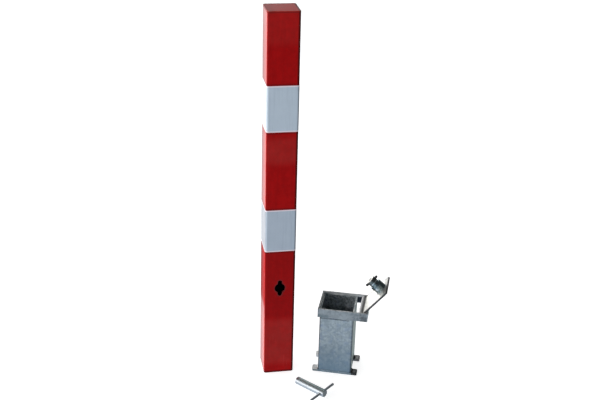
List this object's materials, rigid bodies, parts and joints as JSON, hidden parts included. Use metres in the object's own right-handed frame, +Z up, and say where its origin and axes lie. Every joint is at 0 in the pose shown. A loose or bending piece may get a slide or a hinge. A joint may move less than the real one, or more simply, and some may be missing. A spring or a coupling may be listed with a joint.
{
  "type": "removable bollard",
  "caption": "Square steel bollard post with white bands, its ground socket with a hinged locking plate and turning lock, and a loose T-handled triangular key.",
  "frame": {"origin": "on the floor, on the upright axis of the socket's square well", "axes": "+Z up; +X from the socket towards its hinge; the camera of the picture looks roughly along +Y"},
  "size_m": [0.2996, 0.2169, 0.87],
  "materials": {
    "red_powder_coat": "smooth satin powder coat",
    "white_film": "white reflective film",
    "galvanised_steel": "dull hot-dip galvanised steel",
    "bright_zinc": "bright zinc plate",
    "dark_steel": "dark oiled steel"
  },
  "bodies": {
    "ground_set": {"post_tube": "red_powder_coat", "post_top_plate": "red_powder_coat", "white_band_upper": "white_film", "white_band_lower": "white_film", "socket_tube": "galvanised_steel", "collar_front_bar": "galvanised_steel", "collar_back_bar": "galvanised_steel", "collar_left_bar": "galvanised_steel", "collar_end_bar": "galvanised_steel", "anchor_bar_front": "galvanised_steel", "anchor_bar_back": "galvanised_steel", "hinge_pin": "galvanised_steel", "key_shank": "bright_zinc", "key_tee_bar": "bright_zinc"},
    "locking_plate": {"lid_plate": "galvanised_steel", "lid_knuckle": "galvanised_steel", "lock_barrel": "galvanised_steel"},
    "lock_bolt": {"lock_spindle": "dark_steel", "lock_nose": "bright_zinc", "lock_cross_pin": "dark_steel"}
  },
  "joints": [
    {"name": "plate_hinge", "type": "hinge", "parent": "ground_set", "child": "locking_plate", "pos_m": [0.056, 0, 0.1693], "axis": [0, -1, 0], "range_deg": [0, 129]},
    {"name": "lock_turn", "type": "hinge", "parent": "locking_plate", "child": "lock_bolt", "pos_m": [0.09807, 0, 0.21887], "axis": [-0.7771, 0, 0.6293], "range_deg": [0, 90]}
  ]
}
